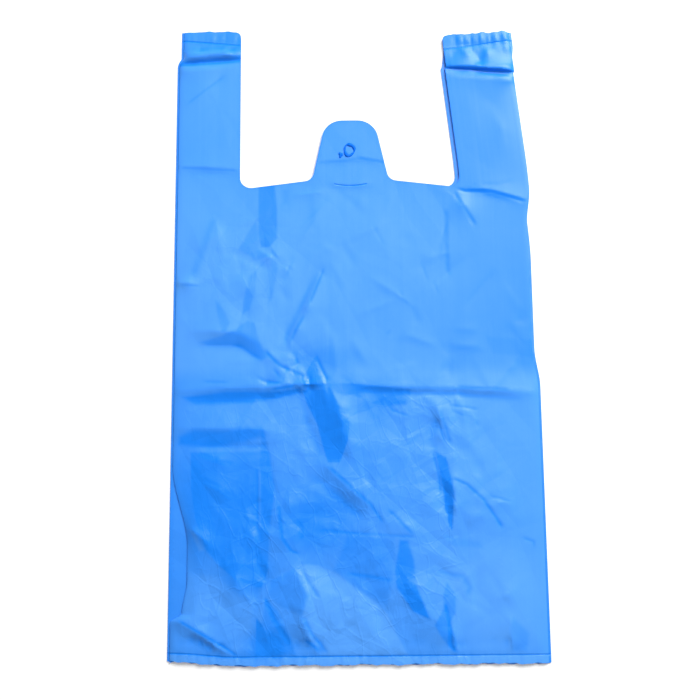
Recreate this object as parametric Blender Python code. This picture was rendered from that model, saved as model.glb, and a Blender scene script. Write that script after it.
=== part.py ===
"""A plastic vest carrier bag, lying flat with its handles towards +Y.

The bag is one tube of blown film with a gusset folded in on each side. It is welded across the hem and across the
tops of its handles. The neck, the pin tab and the tear slit are cut through every layer. The pin has left a melted
ring on the tab, and its layers are fused there.
Metres, +Z up. The origin is in the middle of the bag, on the surface that it lies on.
"""

import math

import bmesh
import bpy
from mathutils import Vector

# Tube
LENGTH = 0.500              # hem cut to the tops of the handles
FRONT_WIDTH = 0.280         # front panel, outer fold to outer fold
BACK_OVERHANG = 0.002       # how far the back panel shows past the front one, each side
GUSSET_DEPTH = 0.065        # outer fold to inner fold
FILM = 0.0001               # film wall
LAYER_GAP = 0.0004          # air between two layers that lie on each other

# Welds
HEM_WELD_INSET = 0.006      # hem cut to the middle of its weld
HANDLE_WELD_INSET = 0.010   # handle top to the middle of its weld
WELD_WIDTH = 0.0016

# Neck and handles
HANDLE_WIDTH = 0.052
HANDLE_LENGTH = 0.134       # neck corner to handle top
CUT_OFFSET = -0.0028        # the die struck a little to the left of the tube's middle
TOP_CORNER_RADIUS = 0.005   # inner top corner of each handle
NECK_FILLET = 0.009
NECK_RISE = 0.007           # how far the neckline climbs from its corners to the tab

# Pin tab
TAB_HEIGHT = 0.050          # above the neckline at its foot
TAB_FOOT_WIDTH = 0.061
TAB_TOP_WIDTH = 0.039
TAB_SHOULDER_RADIUS = 0.016
TAB_FOOT_FILLET = 0.008
PIN_BELOW_TAB_TOP = 0.025
PIN_RING_INNER = 0.0064     # diameter of the melted ring's inside
PIN_RING_WALL = 0.0016
PIN_RING_PROUD = 0.0004     # how far the ring stands above the film
SLIT_LENGTH = 0.026
SLIT_WIDTH = 0.0005
SLIT_RADIUS = 0.060
SLIT_ABOVE_NECK_CORNER = 0.0022
SLIT_STEPS = 8

# How the film lies
HANDLE_LEAN = 6.0           # degrees, of the right handle towards the middle
LEAN_BEND = 0.030           # half the length over which it starts to lean
HANDLE_TURN = 2.6           # degrees by which its top edge is turned with it
EDGE_DRAW = 0.0035          # the right side fold is drawn in by this between the centre crease and the neck
EDGE_DRAW_RUN = 0.030       # length over which that comes and goes
UNDER_SHIFT = 0.0033        # how far its lower layers have slipped towards the middle
SHIFT_RUN = 0.060           # length below the neck, and below the weld, over which they come back
PULL_IN = 0.012             # the left front fold is drawn in by this near the hem
PULL_IN_LOW = (0.026, 0.044)
PULL_IN_HIGH = (0.082, 0.148)
PILLOW = 0.0022             # air under the middle of the front panel
PILLOW_EDGE = 0.045         # width over which the pillow rises from a side fold or the hem
PILLOW_AT_NECK = 0.4        # share of the pillow that is left at the neck
HEM_GATHER = 0.0011
HANDLE_GATHER = 0.0016
GATHER_REACH = 0.026        # how far the gathers run out from a weld
GATHER_BUNCH = 0.096        # one bunch of gathers to the next
CENTRE_CREASE_FROM_HEM = 0.206
CENTRE_CREASE_HALF = 0.007
CENTRE_CREASE_HEIGHT = 0.0024
TUCK_BELOW_TOP_LEFT = 0.026     # fold across each handle, where its top was turned over
TUCK_BELOW_TOP_RIGHT = 0.036
TUCK_RISE = 0.0032
TUCK_REACH = 0.006          # from the fold up to the crest over it
TUCK_DRAW = 0.0030          # the left handle's outer fold is drawn in by this above its tuck
TUCK_STEP = 0.0015          # step to the right of the right handle above its tuck
TUCK_TAKE_UP = 0.0035       # length that the right handle's tuck takes up
FOLD_END_SHARE = 0.4        # height of a fold's ends beside its middle

# Fineness of the mesh
COLUMN_PITCH = 0.0085
ROW_PITCH = 0.0114
GUSSET_COLUMNS = 1
BACK_COLUMNS = 4
ARC_STEP = 15.0             # degrees
RIM_SIDES = 20

FILM_BLUE = (0.084, 0.371, 0.956, 1.0)

# Ridges and hollows of the front panel: height, half width and the places that they run through.
# A place is a share of the panel's half width and a share of its height from the hem to the neck.
FOLDS = (
    (0.0030, 0.011, ((-0.23, 0.62), (-0.16, 0.56), (-0.10, 0.44))),
    (-0.0030, 0.012, ((-0.14, 0.55), (-0.04, 0.43))),
    (0.0028, 0.012, ((-0.30, 0.71), (-0.37, 0.65), (-0.52, 0.62))),
    (0.0022, 0.010, ((-0.17, 0.82), (-0.27, 0.73), (-0.30, 0.66))),
    (0.0020, 0.009, ((-0.54, 0.87), (-0.58, 0.79), (-0.63, 0.70))),
    (0.0022, 0.013, ((-0.78, 0.95), (-0.88, 0.82))),
    (0.0026, 0.009, ((-0.80, 0.545), (-0.45, 0.535))),
    (0.0024, 0.011, ((-0.90, 0.455), (-0.50, 0.450))),
    (0.0026, 0.011, ((0.30, 0.55), (0.43, 0.51), (0.50, 0.42))),
    (0.0022, 0.010, ((0.46, 0.52), (0.56, 0.51), (0.70, 0.51))),
    (0.0028, 0.010, ((0.48, 0.38), (0.50, 0.32), (0.52, 0.25))),
    (0.0024, 0.010, ((0.52, 0.37), (0.62, 0.35), (0.72, 0.29))),
    (0.0020, 0.010, ((-0.86, 0.38), (-0.66, 0.32))),
    (0.0024, 0.013, ((-0.94, 0.28), (-0.84, 0.21))),
    (0.0026, 0.010, ((-0.20, 0.41), (-0.02, 0.34), (0.12, 0.27))),
    (0.0022, 0.010, ((-0.41, 0.33), (-0.41, 0.25), (-0.36, 0.21))),
    (0.0030, 0.013, ((-0.32, 0.19), (-0.03, 0.16), (0.14, 0.10), (0.22, 0.05))),
    (-0.0024, 0.013, ((-0.14, 0.13), (0.04, 0.06))),
    (0.0026, 0.011, ((-0.26, 0.15), (-0.30, 0.09), (-0.22, 0.03))),
    (0.0024, 0.010, ((0.47, 0.16), (0.50, 0.10), (0.52, 0.03))),
    (0.0026, 0.012, ((-0.97, 0.10), (-0.80, 0.06), (-0.67, 0.03))),
    (0.0022, 0.012, ((0.62, 0.97), (0.80, 0.975), (0.95, 0.955))),
    (0.0018, 0.010, ((0.56, 0.97), (0.63, 0.91))),
)

# Sizes that follow from those above
LAYER_STEP = FILM + LAYER_GAP
FOLD_RADIUS = LAYER_STEP / 2
BACK_Z = FILM / 2
GUSSET_BACK_Z = BACK_Z + LAYER_STEP
GUSSET_FRONT_Z = GUSSET_BACK_Z + LAYER_STEP
FRONT_Z = GUSSET_FRONT_Z + LAYER_STEP
HALF_FRONT = FRONT_WIDTH / 2
HALF_BACK = HALF_FRONT + BACK_OVERHANG
INNER_FOLD = HALF_FRONT - GUSSET_DEPTH
HANDLE_INNER = HALF_FRONT - HANDLE_WIDTH
NECK_Y = LENGTH - HANDLE_LENGTH
TAB_FOOT_Y = NECK_Y + NECK_RISE
TAB_TOP_Y = TAB_FOOT_Y + TAB_HEIGHT
TUCK_LEFT_Y = LENGTH - TUCK_BELOW_TOP_LEFT
TUCK_RIGHT_Y = LENGTH - TUCK_BELOW_TOP_RIGHT
HANDLE_WELD_Y = LENGTH - HANDLE_WELD_INSET
CLEAR = 4 * FRONT_Z         # how far a cutter passes the film, above and below


def clamp(value):
    """The value, held between 0 and 1."""
    return min(1.0, max(0.0, value))


def smooth(value, start, end):
    """0 before start, 1 after end and an even curve between."""
    share = clamp((value - start) / (end - start))
    return share * share * (3 - 2 * share)


def spread(start, end, count):
    """Values from start to end in count even steps, both ends included."""
    return [start + (end - start) * step / count for step in range(count + 1)]


def right_folds():
    """The right side of the tube's section, from the front panel round the gusset to the back panel."""
    inward = spread(HALF_FRONT - FOLD_RADIUS, INNER_FOLD + FOLD_RADIUS, GUSSET_COLUMNS)
    outward = spread(INNER_FOLD + FOLD_RADIUS, HALF_BACK - FOLD_RADIUS, GUSSET_COLUMNS)
    front_fold = [(HALF_FRONT - FOLD_RADIUS, FRONT_Z), (HALF_FRONT, FRONT_Z - FOLD_RADIUS)]
    back_fold = [(HALF_BACK, BACK_Z + FOLD_RADIUS), (HALF_BACK - FOLD_RADIUS, BACK_Z)]
    gusset = [(x, GUSSET_FRONT_Z) for x in inward]
    gusset.append((INNER_FOLD, GUSSET_FRONT_Z - FOLD_RADIUS))
    gusset += [(x, GUSSET_BACK_Z) for x in outward]
    return front_fold + gusset + back_fold


def tube_section():
    """The closed section of the gusseted tube, as (x, z) points in order."""
    right = right_folds()
    left = [(-x, z) for x, z in reversed(right)]
    columns = round(FRONT_WIDTH / COLUMN_PITCH)
    front = [(x, FRONT_Z) for x in spread(left[-1][0], right[0][0], columns)[1:-1]]
    back = [(x, BACK_Z) for x in spread(right[-1][0], left[0][0], BACK_COLUMNS)[1:-1]]
    return right + back + left + front


def weld_section():
    """The section that a weld fills: every layer, out to the middle of the film at the folds."""
    right = [
        (HALF_FRONT - FOLD_RADIUS, FRONT_Z),
        (HALF_FRONT, FRONT_Z - FOLD_RADIUS),
        (HALF_FRONT - FOLD_RADIUS, GUSSET_FRONT_Z),
        (HALF_BACK - FOLD_RADIUS, GUSSET_BACK_Z),
        (HALF_BACK, BACK_Z + FOLD_RADIUS),
        (HALF_BACK - FOLD_RADIUS, BACK_Z),
    ]
    return right + [(-x, z) for x, z in reversed(right)]


def stations():
    """Where the rows of the tube lie along Y: closer at the welds, the creases and the neck."""
    rows = {0.0, TUCK_LEFT_Y + TUCK_REACH, TUCK_RIGHT_Y + TUCK_REACH, LENGTH}
    for middle, half in (
        (HEM_WELD_INSET, WELD_WIDTH),
        (HANDLE_WELD_Y, WELD_WIDTH),
        (CENTRE_CREASE_FROM_HEM, CENTRE_CREASE_HALF),
        (TUCK_LEFT_Y, TUCK_REACH / 3),
        (TUCK_RIGHT_Y, TUCK_REACH / 3),
    ):
        rows.update((middle - half, middle, middle + half))
    rows = sorted(rows)
    result = [rows[0]]
    for start, end in zip(rows, rows[1:]):
        steps = max(1, math.ceil((end - start) / ROW_PITCH))
        result += spread(start, end, steps)[1:]
    return result


def rounded(corners):
    """An outline with each corner (x, y, radius) turned into an arc; a radius of 0 stays sharp."""
    points = []
    count = len(corners)
    for index, (x, y, radius) in enumerate(corners):
        corner = Vector((x, y))
        if not radius:
            points.append(corner)
            continue
        before = (Vector(corners[index - 1][:2]) - corner).normalized()
        after = (Vector(corners[(index + 1) % count][:2]) - corner).normalized()
        half_angle = before.angle(after) / 2
        middle = corner + (before + after).normalized() * radius / math.sin(half_angle)
        start = corner + before * radius / math.tan(half_angle) - middle
        turn = math.pi - 2 * half_angle
        if before.x * after.y - before.y * after.x > 0:
            turn = -turn
        steps = max(2, round(abs(math.degrees(turn)) / ARC_STEP))
        for angle in spread(0.0, turn, steps):
            cosine, sine = math.cos(angle), math.sin(angle)
            arm = Vector((start.x * cosine - start.y * sine, start.x * sine + start.y * cosine))
            points.append(middle + arm)
    return points


def neck_outline():
    """What the die takes out between the handles, round the tab."""
    half = [
        (TAB_TOP_WIDTH / 2, TAB_TOP_Y, TAB_SHOULDER_RADIUS),
        (TAB_FOOT_WIDTH / 2, TAB_FOOT_Y, TAB_FOOT_FILLET),
        (HANDLE_INNER, NECK_Y, NECK_FILLET),
        (HANDLE_INNER, LENGTH + FILM, TOP_CORNER_RADIUS),
        (HANDLE_INNER + 2 * TOP_CORNER_RADIUS, LENGTH + FILM, 0),
        (HANDLE_INNER + 2 * TOP_CORNER_RADIUS, LENGTH + HANDLE_WIDTH, 0),
    ]
    right = [(CUT_OFFSET + x, y, radius) for x, y, radius in half]
    left = [(CUT_OFFSET - x, y, radius) for x, y, radius in reversed(half)]
    return rounded(left + right)


def slit_outline():
    """The tear slit across the tab's foot: a narrow arc, lowest in its middle."""
    centre = Vector((CUT_OFFSET, NECK_Y + SLIT_ABOVE_NECK_CORNER + SLIT_RADIUS))
    half_turn = SLIT_LENGTH / 2 / SLIT_RADIUS
    angles = spread(-math.pi / 2 - half_turn, -math.pi / 2 + half_turn, SLIT_STEPS)
    outer = SLIT_RADIUS + SLIT_WIDTH / 2
    inner = SLIT_RADIUS - SLIT_WIDTH / 2
    far = [centre + Vector((math.cos(a), math.sin(a))) * outer for a in angles]
    near = [centre + Vector((math.cos(a), math.sin(a))) * inner for a in reversed(angles)]
    return far + near


def add_prism(mesh, outline, low, high):
    """Add a closed prism to a bmesh: an outline in the XY plane, from low to high."""
    verts = [mesh.verts.new((x, y, low)) for x, y in outline]
    base = mesh.faces.new(verts)
    lifted = bmesh.ops.extrude_face_region(mesh, geom=[base])["geom"]
    top = [item for item in lifted if isinstance(item, bmesh.types.BMVert)]
    bmesh.ops.translate(mesh, vec=(0, 0, high - low), verts=top)


def add_bar(mesh, section, middle):
    """Add a weld to a bmesh: a section in the XZ plane, as long in Y as a weld is wide."""
    start = middle - WELD_WIDTH / 2
    verts = [mesh.verts.new((x, start, z)) for x, z in section]
    base = mesh.faces.new(verts)
    grown = bmesh.ops.extrude_face_region(mesh, geom=[base])["geom"]
    far = [item for item in grown if isinstance(item, bmesh.types.BMVert)]
    bmesh.ops.translate(mesh, vec=(0, WELD_WIDTH, 0), verts=far)


def circle(x, y, radius):
    """Points of a circle in the XY plane."""
    turns = [2 * math.pi * side / RIM_SIDES for side in range(RIM_SIDES)]
    return [(x + radius * math.cos(turn), y + radius * math.sin(turn)) for turn in turns]


def finish_mesh(mesh, name):
    """Turn a bmesh into an object in the scene, faces out where it is closed."""
    bmesh.ops.recalc_face_normals(mesh, faces=mesh.faces)
    data = bpy.data.meshes.new(name)
    mesh.to_mesh(data)
    mesh.free()
    item = bpy.data.objects.new(name, data)
    bpy.context.collection.objects.link(item)
    return item


def make_tube():
    """The gusseted tube: its section drawn out along Y, row by row."""
    mesh = bmesh.new()
    rows = stations()
    verts = [mesh.verts.new((x, rows[0], z)) for x, z in tube_section()]
    edges = [mesh.edges.new(pair) for pair in zip(verts, verts[1:] + verts[:1])]
    for start, end in zip(rows, rows[1:]):
        grown = bmesh.ops.extrude_edge_only(mesh, edges=edges)["geom"]
        edges = [item for item in grown if isinstance(item, bmesh.types.BMEdge)]
        new = [item for item in grown if isinstance(item, bmesh.types.BMVert)]
        bmesh.ops.translate(mesh, vec=(0, end - start, 0), verts=new)
    return finish_mesh(mesh, "carrier_bag")


def make_welds():
    """The hem weld, the handle weld and the fused spot under the melted ring."""
    mesh = bmesh.new()
    add_bar(mesh, weld_section(), HEM_WELD_INSET)
    add_bar(mesh, weld_section(), HANDLE_WELD_Y)
    spot = circle(CUT_OFFSET, TAB_TOP_Y - PIN_BELOW_TAB_TOP, PIN_RING_INNER / 2 + PIN_RING_WALL)
    add_prism(mesh, spot, BACK_Z, FRONT_Z + FILM / 2 + PIN_RING_PROUD)
    return finish_mesh(mesh, "welds")


def make_cuts():
    """The neck and the tear slit, cut through every layer, and the hollow inside the melted ring."""
    mesh = bmesh.new()
    for outline in (neck_outline(), slit_outline()):
        add_prism(mesh, outline, -CLEAR, CLEAR)
    hollow = circle(CUT_OFFSET, TAB_TOP_Y - PIN_BELOW_TAB_TOP, PIN_RING_INNER / 2)
    add_prism(mesh, hollow, FRONT_Z + FILM, CLEAR)
    return finish_mesh(mesh, "cuts")


def cut_and_weld(bag):
    """Give the tube its film wall, weld it, cut it and keep the result as plain mesh."""
    wall = bag.modifiers.new("film", "SOLIDIFY")
    wall.thickness = FILM
    wall.offset = 0
    wall.use_even_offset = True
    wall.use_rim = True
    tools = []
    for maker, operation in ((make_welds, "UNION"), (make_cuts, "DIFFERENCE")):
        tool = maker()
        tool.hide_render = True
        tool.display_type = "WIRE"
        step = bag.modifiers.new(tool.name, "BOOLEAN")
        step.operation = operation
        step.object = tool
        tools.append(tool)
    bpy.context.view_layer.update()
    evaluated = bag.evaluated_get(bpy.context.evaluated_depsgraph_get())
    data = bpy.data.meshes.new_from_object(evaluated)
    bag.modifiers.clear()
    bag.data = data
    data.name = bag.name
    for tool in tools:
        bpy.data.objects.remove(tool)


def fold_height(x, y, height, reach, places):
    """How far one fold lifts the film at a point: full on its line, none past its reach or its ends."""
    here = Vector((x, y))
    best = None
    run = 0.0
    points = [Vector((u * HALF_FRONT, v * NECK_Y)) for u, v in places]
    for start, end in zip(points, points[1:]):
        line = end - start
        share = clamp((here - start).dot(line) / line.length_squared)
        away = (here - start - line * share).length
        if best is None or away < best[0]:
            best = (away, run + share * line.length)
        run += line.length
    away, along = best
    if away > 2 * reach:
        return 0.0
    ends = FOLD_END_SHARE + (1 - FOLD_END_SHARE) * math.sin(math.pi * along / run)
    return height * ends * math.exp(-(away / reach) ** 2)


def tuck_y(x):
    """Where the fold across the handle on that side lies."""
    return TUCK_LEFT_Y if x < 0 else TUCK_RIGHT_Y


def gathers(x, y):
    """The puckers beside the welds: the film bunches between them and runs out flat."""
    hem = clamp(1 - abs(y - HEM_WELD_INSET) / GATHER_REACH)
    top = clamp(1 - abs(y - HANDLE_WELD_Y) / GATHER_REACH)
    wave = 0.5 + 0.5 * math.cos(math.pi * x / COLUMN_PITCH)
    bunch = 0.5 + 0.5 * math.cos(2 * math.pi * x / GATHER_BUNCH)
    return wave * bunch * HEM_GATHER * hem + wave * HANDLE_GATHER * top * smooth(x, 0.0, HALF_FRONT)


def lift(x, y):
    """How high the front panel stands above the layers under it."""
    from_side = HALF_FRONT - abs(x)
    along = smooth(y, 0.0, PILLOW_EDGE) * (1 - (1 - PILLOW_AT_NECK) * smooth(y, NECK_Y - PILLOW_EDGE, NECK_Y))
    height = PILLOW * smooth(from_side, 0.0, PILLOW_EDGE) * along
    crease = clamp(1 - abs(y - CENTRE_CREASE_FROM_HEM) / CENTRE_CREASE_HALF)
    height += CENTRE_CREASE_HEIGHT * crease * smooth(from_side, 0.0, CENTRE_CREASE_HALF)
    crest_y = tuck_y(x) + TUCK_REACH
    if y < crest_y:
        height += TUCK_RISE * clamp((y - tuck_y(x)) / TUCK_REACH)
    else:
        height += TUCK_RISE * clamp((HANDLE_WELD_Y - y) / (HANDLE_WELD_Y - crest_y))
    for fold in FOLDS:
        height += fold_height(x, y, *fold)
    return max(0.0, height) + gathers(x, y)


def lean(x, y):
    """The sideways shift of the right handle, which leans towards the middle."""
    above = y - NECK_Y
    if above <= -LEAN_BEND:
        return 0.0
    rise = above if above > LEAN_BEND else (above + LEAN_BEND) ** 2 / (4 * LEAN_BEND)
    share = smooth(x, HANDLE_INNER / 2, HANDLE_INNER)
    return -math.tan(math.radians(HANDLE_LEAN)) * rise * share


def tuck_shift(x, y):
    """The step to the right of what lies above the fold across each handle."""
    share = smooth(y - tuck_y(x), 0.0, TUCK_REACH)
    if x < 0:
        return TUCK_DRAW * share * smooth(-x, HANDLE_INNER, HALF_FRONT)
    return TUCK_STEP * share * smooth(x, HANDLE_INNER / 2, HANDLE_INNER)


def edge_draw(x, y):
    """How far the right side fold lies in from where it was pressed, above the centre crease."""
    rise = smooth(y, CENTRE_CREASE_FROM_HEM, CENTRE_CREASE_FROM_HEM + EDGE_DRAW_RUN)
    along = rise * (1 - smooth(y, NECK_Y - EDGE_DRAW_RUN, NECK_Y))
    return -EDGE_DRAW * along * smooth(x, INNER_FOLD, HALF_FRONT)


def drop(x, y):
    """How far the right handle's film lies from its flat place along the bag: turned, and taken up by its tuck."""
    turned = math.tan(math.radians(HANDLE_TURN)) * (x - HALF_FRONT + HANDLE_WIDTH / 2)
    turned *= smooth(y, NECK_Y, HANDLE_WELD_Y)
    taken = TUCK_TAKE_UP * smooth(y - tuck_y(x), 0.0, TUCK_REACH)
    return (turned - taken) * smooth(x, 0.0, HANDLE_INNER / 2)


def under_shift(x, y):
    """The shift of the lower layers of the right handle, which are free of the upper ones below their weld."""
    along = smooth(y, NECK_Y - SHIFT_RUN, NECK_Y) * smooth(HANDLE_WELD_Y - y, 0.0, SHIFT_RUN)
    return -UNDER_SHIFT * along * smooth(x, HANDLE_INNER / 2, HANDLE_INNER)


def pull_in(x, y):
    """How far the left front fold and the film beside it are drawn towards the middle."""
    along = smooth(y, *PULL_IN_LOW) * (1 - smooth(y, *PULL_IN_HIGH))
    return PULL_IN * along * smooth(-x, INNER_FOLD, HALF_FRONT)


def lay_down(bag):
    """Move the flat film as it lies: front panel lifted into its folds, handles leaning, one edge drawn in."""
    front_low = FRONT_Z - FILM / 2
    gusset_high = GUSSET_FRONT_Z + FILM / 2
    gusset_low = GUSSET_FRONT_Z - FILM / 2
    under_high = GUSSET_BACK_Z + FILM / 2
    for vert in bag.data.vertices:
        x, y, z = vert.co
        front = clamp((z - gusset_high) / (front_low - gusset_high))
        upper = clamp((z - under_high) / (gusset_low - under_high))
        sideways = lean(x, y) + tuck_shift(x, y) + edge_draw(x, y)
        vert.co.x = x + sideways + pull_in(x, y) * upper + under_shift(x, y) * (1 - upper)
        vert.co.y = y + drop(x, y) - LENGTH / 2
        vert.co.z = z + lift(x, y) * front
    bag.data.update()


def film_material():
    """Blue film with a soft gloss."""
    material = bpy.data.materials.new("blue_film")
    material.use_nodes = True
    shader = material.node_tree.nodes["Principled BSDF"]
    shader.inputs["Base Color"].default_value = FILM_BLUE
    shader.inputs["Roughness"].default_value = 0.34
    shader.inputs["Metallic"].default_value = 0.0
    return material


def main():
    """Clear the scene and make the bag."""
    for item in list(bpy.data.objects):
        bpy.data.objects.remove(item)
    bag = make_tube()
    cut_and_weld(bag)
    lay_down(bag)
    bag.data.materials.append(film_material())
    bag.data.shade_smooth()
    bag.data.set_sharp_from_angle(angle=math.radians(35))


main()
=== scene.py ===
"""A blue vest carrier bag lying flat on a white surface, seen from above.

The bag's film is folded from two sheets: the front panel, with its creases, and the film under it, which is
the two gussets and the back panel. Sizes are millimetres on the flat film until the film is laid in place.
"""

import math

import bpy
import numpy as np
from mathutils import Matrix, Vector


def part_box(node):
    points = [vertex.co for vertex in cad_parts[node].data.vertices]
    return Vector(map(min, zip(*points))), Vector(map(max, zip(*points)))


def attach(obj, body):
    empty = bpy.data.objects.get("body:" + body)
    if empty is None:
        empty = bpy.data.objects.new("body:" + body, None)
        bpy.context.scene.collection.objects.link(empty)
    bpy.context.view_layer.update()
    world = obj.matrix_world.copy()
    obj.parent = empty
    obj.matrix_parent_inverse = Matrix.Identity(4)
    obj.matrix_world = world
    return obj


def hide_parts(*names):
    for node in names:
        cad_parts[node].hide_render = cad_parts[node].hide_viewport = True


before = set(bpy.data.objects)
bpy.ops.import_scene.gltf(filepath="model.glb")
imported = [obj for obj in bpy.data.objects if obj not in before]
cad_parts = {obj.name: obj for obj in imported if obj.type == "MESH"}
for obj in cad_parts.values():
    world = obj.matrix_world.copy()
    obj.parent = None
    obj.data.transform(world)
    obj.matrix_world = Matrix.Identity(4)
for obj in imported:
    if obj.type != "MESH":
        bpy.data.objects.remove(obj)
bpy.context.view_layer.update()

MM = 0.001
NODE = "carrier_bag"

# The tube, the cut-out and the welds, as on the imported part
low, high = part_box(NODE)
LENGTH = (high.y - low.y) / MM
BACK_OVERHANG = 2.0
HALF_BACK = (high.x - low.x) / 2 / MM
HALF_FRONT = HALF_BACK - BACK_OVERHANG
GUSSET_DEPTH = 65.0
FILM = 0.1
LAYER_STEP = 0.5
INNER_FOLD = HALF_FRONT - GUSSET_DEPTH
HANDLE_WIDTH = 52.0
HANDLE_INNER = HALF_FRONT - HANDLE_WIDTH
HANDLE_LENGTH = 134.0
NECK_Y = LENGTH - HANDLE_LENGTH
NECK_FILLET = 9.0
NECK_RISE = 7.0
CUT_X = -2.8
TAB_HEIGHT = 50.0
TAB_FOOT_Y = NECK_Y + NECK_RISE
TAB_TOP_Y = TAB_FOOT_Y + TAB_HEIGHT
TAB_FOOT_HALF = 30.5
TAB_TOP_HALF = 19.5
TAB_SHOULDER_RADIUS = 16.0
TAB_FOOT_FILLET = 8.0
CORNER_RADIUS = 5.0
HEM_WELD_Y = 6.0
HANDLE_WELD_Y = LENGTH - 10.0
PIN_Y = TAB_TOP_Y - 25.0

# How it lies
LEAN = 6.0
LEAN_BEND = 30.0
HANDLE_TURN = 2.6
EDGE_DRAW = 3.5
EDGE_DRAW_RUN = 30.0
CENTRE_CREASE_Y = 206.0
PULL_IN = 12.0
UNDER_SHIFT = 3.3
SHIFT_RUN = 60.0
TUCK_LEFT_Y = LENGTH - 26.0
TUCK_RIGHT_Y = LENGTH - 36.0
TUCK_REACH = 6.0
TUCK_DRAW = 3.0
TUCK_STEP = 1.5
TUCK_TAKE_UP = 3.5
WELD_SLOPE = 0.09
CORNER_LIFT = 3.5

BACK_Z = FILM / 2
GUSSET_BACK_Z = BACK_Z + LAYER_STEP
GUSSET_FRONT_Z = GUSSET_BACK_Z + LAYER_STEP
FRONT_Z = GUSSET_FRONT_Z + LAYER_STEP
FOLD_RADIUS = LAYER_STEP / 2

# The tab's marks, and half the width of the lines that show a weld and the slit
RING_RADIUS = 4.2
RING_THICK = 1.1
NIB_RADIUS = 1.2
SLIT_Y = NECK_Y + 2.2
SLIT_HALF = 13.0
SLIT_RADIUS = 60.0
WELD_LINE = 1.1
SLIT_LINE = 0.8

# One grid line of each sheet to the next
FRONT_PITCH = 2.05
UNDER_PITCH = 3.2

# Creases of the front panel. Each is a line of (x, y, height): across from the middle, up from the hem, and
# how high the film stands there above the layers under it. Between creases the film hangs like a skin.
CENTRE_CREASE = (
    ((-140, 205, 1.2), (-100, 207, 2.2), (-60, 208, 2.4), (-22, 210, 2.8), (-1, 209, 2.8), (11, 207, 2.6),
     (50, 205, 2.2), (77, 205, 2.2), (105, 203, 2.0), (138, 201, 1.2)),
    ((-138, 198, 0.3), (-100, 197, 0.4), (-63, 199, 0.4), (-40, 204, 0.6)),
    ((2, 203, 1.2), (30, 202, 1.0), (77, 200, 1.0), (134, 196, 0.5)),
)
UPPER_CREASES = (
    ((-76, 317, 0.5), (-67, 310, 1.9), (-77, 306, 0.6)),
    ((-140, 290, 0.9), (-130, 290, 1.5), (-117, 288, 0.5)),
    ((-50, 310, 0.5), (-54, 300, 1.4), (-58, 291, 0.5)),
    ((-24, 302, 0.6), (-37, 270, 2.0), (-42, 260, 1.4)),
    ((-29, 300, 0.3), (-44, 268, 0.5), (-56, 242, 0.4)),
    ((-38, 268, 1.0), (-45, 252, 2.0), (-52, 240, 1.2)),
    ((-48, 235, 0.6), (-46, 228, 1.0), (-44, 218, 1.4)),
    ((-110, 344, 0.6), (-121, 318, 1.1), (-128, 294, 0.6)),
    ((-72, 308, 0.8), (-80, 285, 1.2), (-84, 262, 0.8)),
    ((52, 305, 0.8), (58, 287, 1.2)),
    ((-130, 252, 0.9), (-108, 251, 2.3), (-90, 250, 2.2), (-73, 240, 1.4), (-60, 226, 1.8), (-50, 216, 2.0)),
    ((-126, 240, 0.3), (-90, 239, 0.3), (-74, 228, 0.6)),
    ((-73, 206, 1.4), (-63, 213, 1.8), (-50, 214, 2.0)),
    ((-32, 232, 0.8), (-26, 218, 1.5), (-22, 210, 2.2)),
    ((-41, 226, 0.8), (-36, 212, 0.8), (-34, 202, 0.4)),
    ((79, 363, 0.4), (86, 351, 1.6), (96, 334, 0.6)),
    ((74, 352, 0.7), (73, 320, 1.0), (73, 292, 0.7)),
    ((86, 366, 0.6), (102, 364.5, 1.1), (120, 360, 1.1), (138, 356, 0.6)),
    ((86, 362, 0.3), (104, 360, 0.3), (121, 355.5, 0.3), (136, 351.5, 0.3)),
    ((-76, 366, 0.4), (-76, 316, 0.6)),
    ((10, 335, 0.9), (45, 290, 1.2), (50, 240, 1.2)),
)
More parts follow.
